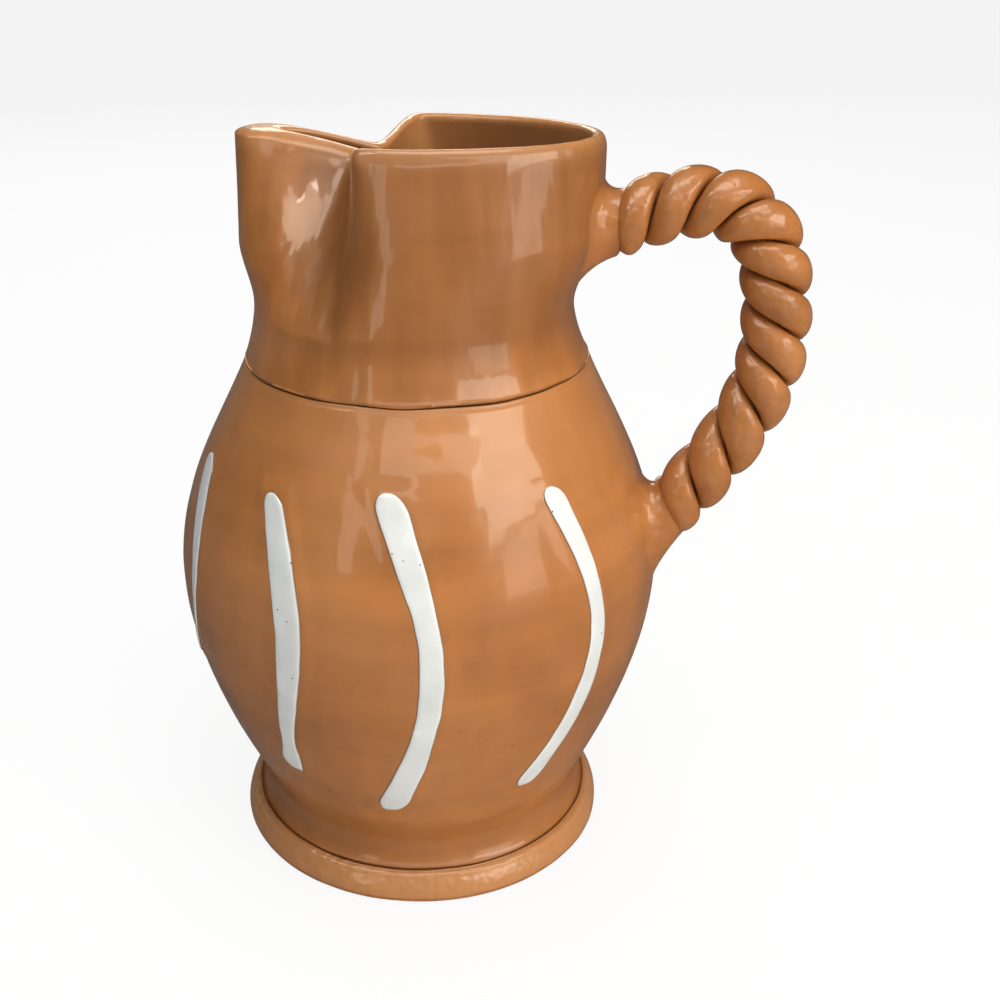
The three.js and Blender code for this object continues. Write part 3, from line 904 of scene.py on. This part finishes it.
def makeStrand(number):
    start, end = rope["upperEnds"][number], ropeLength + rope["lowerEnd"]
    steps = round((end - start) / rope["pitch"] * rope["stepsPerTurn"])
    shearRun = rope["shearRun"]
    rings = []
    for step in range(steps + 1):
        distance = mix(start, end, step / steps)
        place, outward, sideways, heading = ropeFrame(distance)
        turn = ropeTurnAt(distance) + number * math.pi
        # round ends that lie along the walls they are pressed on
        fromStart, fromEnd = distance - start, end - distance
        near = min(fromStart / rope["upperRound"], fromEnd / rope["lowerRound"], 1.0)
        radius = ropeRadiusAt(distance) * math.sqrt(clamp(1 - (1 - near) ** 2, 0.02, 1.0))
        shear = rope["upperShear"] * ease(shearRun - fromStart, 0, shearRun)
        shear += rope["lowerShear"] * ease(shearRun - fromEnd, 0, shearRun)
        firstX = None
        ring = []
        for k in range(rope["sides"]):
            angle = mix(-0.5, 0.5, k / (rope["sides"] - 1)) * rope["span"] * math.pi
            reach = radius * math.cos(angle) ** rope["flatness"]
            x, y = reach * math.cos(angle), reach * math.sin(angle)
            if firstX is None:
                firstX = x
            x -= firstX
            out = x * math.cos(turn) - y * math.sin(turn)
            p = place + outward * out + heading * (shear * out)
            p += sideways * (x * math.sin(turn) + y * math.cos(turn))
            edge = abs(angle) / (0.5 * math.pi)
            # painted shade with pooled glaze towards the groove, painted light on the crest
            poolAndShade = rope["groovePoolAndShade"] * ease(edge, rope["grooveFrom"], 1.0)
            thinGlazeAndLight = rope["crestLight"] * ease(rope["crestTo"] - edge, 0.0, rope["crestTo"])
            ring.append((*p, poolAndShade, thinGlazeAndLight))
        rings.append(ring)
    mesh = ringMesh("handleStrand" + str(number + 1), rings, capped=True)
    knead(mesh, rope["dents"])
    return mesh


# smeared clay at both ends of the rope
pads = {
    "drawn": 1.5,
    "drawnReach": 0.4,
    "sideSpread": 8.5,
    "farthest": 60.0,
    "halvings": 40,
    "sides": 72,
    "steps": 18,
    "domeSteps": 7,
    "domeLength": 2.0,
    "toeDepth": 0.8,
    "underDepth": 1.7,
    "underSteps": (0.85, 0.6, 0.35, 0.1),
    "dents": 0.6,
    # pooled glaze and painted shade on the dome, where the pad leaves the rope, and at the toe on the
    # wall
    "domePoolAndShade": 0.3,
    "edgePoolAndShade": 0.25,
    "toeRun": (0.35, 0.95),
}
upperPad = {
    "length": 13.0,
    "inset": 1.0,
    "tilt": 11.5,
    "top": 0.86,
    "spread": (5.5, 8.0),  # up and down the wall
    "toePoolAndShade": 0.38,
}
lowerPad = {
    "length": 15.0,
    "inset": 2.2,
    "tilt": 1.0,
    "top": 1.06,
    "spread": (10.0, 6.0),
    "toePoolAndShade": 0.05,
}


def neckWall(p):
    # how far a point stands out from the back of the neck, and the nearest place on it
    back, front, half, _ = neckShape(p.z, 0.0)
    across = clamp(abs(p.y) / half, 0.0, 0.99)
    x = (back - front) / 2 + (back + front) / 2 * math.sqrt(1 - across ** 2)
    return p.x - x, Vector((x, p.y, p.z))


def bellyWall(p):
    radius = math.hypot(p.x, p.y)
    wanted = bellyRadiusAt(p.z)
    return radius - wanted, Vector((p.x * wanted / radius, p.y * wanted / radius, p.z))


def makePad(name, pad, endDistance, toWall, wall):
    # from the rope's end each side runs straight to the wall and turns out along it
    place, outward, sideways, heading = ropeFrame(endDistance)
    heading = heading * toWall
    up = outward if outward.z > 0 else -outward
    radius = ropeRadiusAt(endDistance) - pad["inset"]
    steps = pads["steps"]

    def pressed(p, depth):
        # a place a little under the skin of the wall
        skin = wall(p)[1]
        clear = skin + Vector((3, 0, 0))
        return skin + (wall(clear)[1] - clear).normalized() * depth

    sides = []
    for k in range(pads["sides"]):
        angle = 2 * math.pi * k / pads["sides"]
        arm = up * math.cos(angle) + sideways * math.sin(angle)
        under = (1 - math.cos(angle)) / 2
        drawn = pads["drawn"] * hump(angle, 1.5 * math.pi, pads["drawnReach"])
        rim = place + arm * (radius * mix(pad["top"], 1, under))
        rim += heading * (pad["tilt"] * under - drawn)
        near, far = 0.0, pads["farthest"]
        for _ in range(pads["halvings"]):
            half = (near + far) / 2
            if wall(rim + heading * half)[0] > 0:
                near = half
            else:
                far = half
        meet = rim + heading * near
        reach = mix(*pad["spread"], under) * abs(math.cos(angle))
        reach += pads["sideSpread"] * abs(math.sin(angle))
        away = Vector((0, math.sin(angle), math.cos(angle)))
        toe = pressed(meet + away * reach, pads["toeDepth"])
        sides.append([bezier((rim, meet, toe), i / steps) for i in range(steps + 1)])
    rings = []
    middle = sum((side[0] for side in sides), Vector()) / len(sides)
    for i in range(pads["domeSteps"], 0, -1):
        turn = i / pads["domeSteps"] * math.pi / 2 * 0.98
        out = heading * (-pads["domeLength"] * math.sin(turn))
        dome = [middle.lerp(side[0], math.cos(turn)) + out for side in sides]
        rings.append([(*p, pads["domePoolAndShade"]) for p in dome])
    for i in range(steps + 1):
        # painted shade with pooled glaze where the pad leaves the rope and where it meets the wall
        poolAndShade = pads["edgePoolAndShade"] * hump(i, 0, 2.0)
        poolAndShade += pad["toePoolAndShade"] * ease(i / steps, *pads["toeRun"])
        rings.append([(*side[i], poolAndShade) for side in sides])
    # the underside lies in the wall and follows it, so nothing comes out inside the jug
    heart = sum((side[-1] for side in sides), Vector()) / len(sides)
    for share in pads["underSteps"]:
        lining = [pressed(heart.lerp(side[-1], share), pads["underDepth"]) for side in sides]
        rings.append([(*p, pad["toePoolAndShade"]) for p in lining])
    mesh = ringMesh(name, rings, capped=True)
    knead(mesh, pads["dents"])
    return mesh


# white strokes: place round the belly, slant, bend and sway in degrees, ends from the widest place,
# the tip (its length and the side it leans to), a hook before it, and widths at even steps
strokes = [
    {"azimuth": 180.0, "above": 47, "below": 61, "lean": 3.0, "bow": 7.0, "sway": 0.6,
     "tip": (4.0, 0.0), "widths": (7.6, 8.2, 7.4, 7.0, 7.6, 8.4, 8.0)},
    {"azimuth": 213.0, "above": 46, "below": 24, "lean": 3.6, "bow": 7.0, "sway": 0.0,
     "tip": (6.0, 0.0), "widths": (10.0, 10.0, 7.5, 5.0, 3.0, 2.0, 1.4)},
    {"azimuth": 245.0, "above": 46, "below": 53.5, "lean": 2.5, "bow": 8.2, "sway": 1.4,
     "tip": (6.0, 0.7), "widths": (8.4, 10.3, 10.6, 9.9, 8.0, 6.2, 9.4)},
    {"azimuth": 274.7, "above": 51, "below": 65, "lean": 0.0, "bow": 10.1, "sway": 0.6,
     "tip": (7.5, -0.1), "hook": -1.2, "widths": (10.8, 9.8, 7.8, 8.4, 8.0, 9.8, 11.2)},
    {"azimuth": 314.6, "above": 48, "below": 60, "lean": -4.5, "bow": 9.3, "sway": 0.5,
     "tip": (7.0, 0.1), "hook": -0.8, "widths": (9.0, 7.8, 6.7, 7.3, 8.6, 8.7, 10.4)},
    {"azimuth": 43.0, "above": 45, "below": 59, "lean": 4.0, "bow": 8.0, "sway": 0.5,
     "tip": (4.0, 0.3), "widths": (8.6, 8.0, 8.6, 7.6, 7.0, 7.8, 9.0)},
    {"azimuth": 81.0, "above": 49, "below": 63, "lean": -3.0, "bow": 9.0, "sway": 0.9,
     "tip": (5.0, -0.4), "widths": (9.4, 8.8, 7.8, 8.0, 8.6, 8.8, 9.8)},
    {"azimuth": 114.0, "above": 44, "below": 55, "lean": 2.0, "bow": 7.5, "sway": 0.4,
     "tip": (6.0, 0.6), "widths": (7.6, 8.4, 8.6, 7.8, 6.8, 6.4, 7.6)},
    {"azimuth": 147.0, "above": 48, "below": 60, "lean": -2.0, "bow": 8.5, "sway": 0.8,
     "tip": (4.4, 0.0), "widths": (8.8, 8.0, 7.4, 8.2, 8.0, 8.8, 9.2)},
]
strokeLook = {
    "thickness": 0.52,
    "sunk": 0.2,
    "steps": 130,
    "sides": 24,
    "wander": 0.3,
    "wanderCloseness": 5.0,
    "wanderStart": 3.1,
    "ragged": 0.22,
    "raggedSize": 6.0,
    "raggedStart": (7.7, 5.0),  # for each stroke, and for its other side
    "underside": 0.25,
    "rimStart": (0.86, 0.93),
    "hookStart": 0.78,
    "swell": 0.52,
    "swellReach": 5.0,
}


def strokeTurn(number, run):
    stroke = strokes[number]
    turn = stroke["azimuth"] + stroke["lean"] * (run - 0.5)
    turn += stroke["bow"] * math.sin(run * math.pi)
    turn += stroke["sway"] * math.sin(2 * run * math.pi)
    turn += stroke.get("hook", 0.0) * ease(run, strokeLook["hookStart"], 1.0)
    start, closeness = number * strokeLook["wanderStart"], strokeLook["wanderCloseness"]
    return turn + strokeLook["wander"] * noise.noise(Vector((start, run * closeness, 0)))


def strokeWidth(number, run):
    widths = strokes[number]["widths"]
    spot = clamp(run) * (len(widths) - 1)
    first = min(int(spot), len(widths) - 2)
    return mix(widths[first], widths[first + 1], ease(spot - first, 0, 1))


def swellAt(p):
    # the glaze stands a little thicker round every stroke
    lift = 0.0
    radius = math.hypot(p[0], p[1])
    if radius < bellyRadiusAt(clamp(p[2], ankleHeight, seatHeight)) - 3:
        return lift
    for number, stroke in enumerate(strokes):
        length = stroke["above"] + stroke["below"]
        run = (stroke["above"] - p[2] + bellyHeight) / length
        past = max(0.0, -run, run - 1) * length
        apart = math.atan2(p[1], p[0]) - math.radians(strokeTurn(number, clamp(run)))
        apart = abs((apart + math.pi) % (2 * math.pi) - math.pi) * radius
        beside = max(0.0, apart - strokeWidth(number, run) / 2)
        gone = ease(math.hypot(past, beside), 0, strokeLook["swellReach"])
        lift = max(lift, strokeLook["swell"] * (1 - gone))
    return lift


def makeStroke(number):
    stroke = strokes[number]
    length = stroke["above"] + stroke["below"]
    tipLength, tipSide = stroke["tip"]
    steps, sides, sunk = strokeLook["steps"], strokeLook["sides"], strokeLook["sunk"]
    ownStart, otherSide = strokeLook["raggedStart"]
    rings = []
    for step in range(steps + 1):
        # steps crowd at the ends, where the stroke is round
        run = (1 - math.cos(math.pi * step / steps)) / 2
        z = bellyHeight + mix(stroke["above"], -stroke["below"], run)
        width = strokeWidth(number, run)
        fromEnd = min(run / (width / 2), (1 - run) / tipLength) * length
        fullness = math.sqrt(clamp(1 - (1 - min(1.0, fromEnd)) ** 2, 0.0004, 1.0))
        slide = tipSide * width / 2 * (1 - fullness) if run > 0.5 else 0.0
        radius = bellyRadiusAt(z)
        facing = bellyFacing(z)
        ring = []
        for k in range(sides * 2):
            upperSide = k < sides
            share = k / (sides - 1) if upperSide else 2 - (k - 1) / (sides - 1)
            across = -math.cos(math.pi * clamp(share, 0.0, 1.0))
            start = number * ownStart + (otherSide if across > 0 else 0)
            uneven = noise.noise(Vector((start, run * length / strokeLook["raggedSize"], 0)))
            half = (width / 2 + strokeLook["ragged"] * uneven) * fullness
            crown = (1 - across ** 8) * min(1.0, fullness * 1.6)
            lift, poolAndShade = -sunk - strokeLook["underside"], 1.0
            if upperSide:
                lift = -sunk + (strokeLook["thickness"] + sunk) * crown
                poolAndShade = ease(abs(across), *strokeLook["rimStart"])
            spin = math.radians(strokeTurn(number, run)) + (across * half + slide) / radius
            below = (radius * math.cos(spin), radius * math.sin(spin), z)
            lift += swellAt(below) - dentAt(below)
            reach = radius + facing.x * lift
            ring.append((reach * math.cos(spin), reach * math.sin(spin), z + facing.y * lift, poolAndShade))
        rings.append(ring)
    return ringMesh("slipStroke" + str(number + 1), rings, capped=True)


addPiece("footRing", makeFootRing(), ropeMaterial, "foot_ring")
addPiece("bellyPot", makeBelly(), bellyMaterial, "belly")
print("foot ring and belly turned")
addPiece("neckSpout", makeNeck(), neckMaterial, "neck_spout")
print("neck folded")
for number in range(2):
    addPiece("handleStrand" + str(number + 1), makeStrand(number), ropeMaterial,
             "handle_strand_" + str(number + 1))
upperMesh = makePad("handleUpperPad", upperPad, upperPad["length"], -1, neckWall)
lowerMesh = makePad("handleLowerPad", lowerPad, ropeLength - lowerPad["length"], 1, bellyWall)
addPiece("handleUpperPad", upperMesh, ropeMaterial, "handle_upper_pad")
addPiece("handleLowerPad", lowerMesh, ropeMaterial, "handle_lower_pad")
print("rope handle twisted and luted on")
for number in range(len(strokes)):
    addPiece("slipStroke" + str(number + 1), makeStroke(number), slipMaterial,
             "slip_stroke_" + str(number + 1))
print("slip strokes laid on")


# pale floor, white to the camera and dim in the glaze, with a soft shadow; windows and sky
studio = {
    "floorColour": (0.86, 0.86, 0.86),
    "floorRoughness": 0.9,
    "floorSize": 14.0,
    "whiteness": 0.88,
    "worldLight": 0.12,
    "worldMirrored": 0.05,
    "floorMirrored": 0.12,
    "windowColour": (1.0, 0.90, 0.76),
    "aimHeight": 0.13,
    "lamps": [
        # name, direction and height in degrees, distance, size, power in watts,
        # and whether it lights the clay, shows in the glaze, or both
        ("windowTop", (333, 24), 1.5, (0.92, 0.38), 6.5, "both"),
        ("windowLow", (331, 6), 1.5, (0.60, 0.46), 2.0, "both"),
        ("windowBar", (290, 33), 1.5, (1.45, 0.14), 2.2, "glaze"),
        ("windowLeft", (248, 19), 1.5, (0.20, 0.58), 1.0, "glaze"),
        ("windowHigh", (224, 46), 1.5, (0.52, 0.40), 3.8, "glaze"),
        ("windowGlint", (238, 47), 1.5, (0.09, 0.07), 0.40, "glaze"),
        ("windowRoof", (285, 72), 1.5, (1.20, 0.80), 13.0, "glaze"),
        ("skyTop", (305, 78), 1.6, (1.50, 1.50), 20.0, "clay"),
        ("skyHigh", (280, 56), 1.5, (1.20, 1.20), 6.0, "clay"),
        ("skyRight", (335, 50), 1.5, (1.20, 1.20), 2.0, "clay"),
        ("skyFront", (322, 2), 1.5, (0.90, 0.28), 5.0, "clay"),
        ("skyBack", (112, 36), 1.6, (1.40, 1.40), 8.0, "clay"),
        ("windowBack", (105, 26), 1.5, (0.50, 0.42), 2.6, "glaze"),
    ],
}


def makeFloor():
    half = studio["floorSize"] / 2
    corners = [(-half, -half, 0), (half, -half, 0), (half, half, 0), (-half, half, 0)]
    floorMesh = bpy.data.meshes.new("floor")
    floorMesh.from_pydata(corners, [], [(0, 1, 2, 3)])
    floor = bpy.data.objects.new("floor", floorMesh)
    bpy.context.collection.objects.link(floor)
    material, nodes, links, shader = newMaterial("paleFloor")
    shader.inputs["Base Color"].default_value = (*studio["floorColour"], 1)
    shader.inputs["Roughness"].default_value = studio["floorRoughness"]
    shader.inputs["Specular IOR Level"].default_value = 0.0
    light = nodes.new("ShaderNodeLightPath")
    white = nodes.new("ShaderNodeEmission")
    dim = nodes.new("ShaderNodeEmission")
    dim.inputs["Strength"].default_value = studio["floorMirrored"]
    seen = addMath(nodes, links, "MULTIPLY", light.outputs["Is Camera Ray"], studio["whiteness"])
    surface = shader.outputs["BSDF"]
    for factor, other in ((seen, white), (light.outputs["Is Glossy Ray"], dim)):
        blend = nodes.new("ShaderNodeMixShader")
        links.new(factor, blend.inputs["Fac"])
        links.new(surface, blend.inputs[1])
        links.new(other.outputs["Emission"], blend.inputs[2])
        surface = blend.outputs["Shader"]
    links.new(surface, nodes["Material Output"].inputs["Surface"])
    floorMesh.materials.append(material)


def makeWorld():
    world = bpy.data.worlds.new("studioWorld")
    bpy.context.scene.world = world
    world.use_nodes = True
    nodes, links = world.node_tree.nodes, world.node_tree.links
    sky = nodes["Background"]
    sky.inputs["Color"].default_value = (1, 1, 1, 1)
    light = nodes.new("ShaderNodeLightPath")
    level, mirrored = studio["worldLight"], studio["worldMirrored"]
    seen = addRange(nodes, links, light.outputs["Is Camera Ray"], 0.0, 1.0, level, 1.0)
    drop = addRange(nodes, links, light.outputs["Is Glossy Ray"], 0.0, 1.0, 0.0, level - mirrored)
    links.new(addMath(nodes, links, "SUBTRACT", seen, drop), sky.inputs["Strength"])


def makeLamps():
    for name, (turn, height), distance, size, power, lights in studio["lamps"]:
        lampData = bpy.data.lights.new(name, "AREA")
        lampData.shape = "RECTANGLE"
        lampData.size, lampData.size_y = size
        lampData.energy = power
        lampData.color = (1, 1, 1) if lights == "clay" else studio["windowColour"]
        lamp = bpy.data.objects.new(name, lampData)
        bpy.context.collection.objects.link(lamp)
        turn, height = math.radians(turn), math.radians(height)
        level = math.cos(height)
        aim = Vector((level * math.cos(turn), level * math.sin(turn), math.sin(height)))
        lamp.location = Vector((0, 0, studio["aimHeight"])) + aim * distance
        lamp.rotation_euler = (-aim).to_track_quat("-Z", "Y").to_euler()
        lamp.visible_camera = False
        lamp.visible_diffuse = lights != "glaze"
        lamp.visible_glossy = lights != "clay"


makeFloor()
makeWorld()
makeLamps()
bpy.context.scene.view_settings.view_transform = "Standard"
print("studio set")
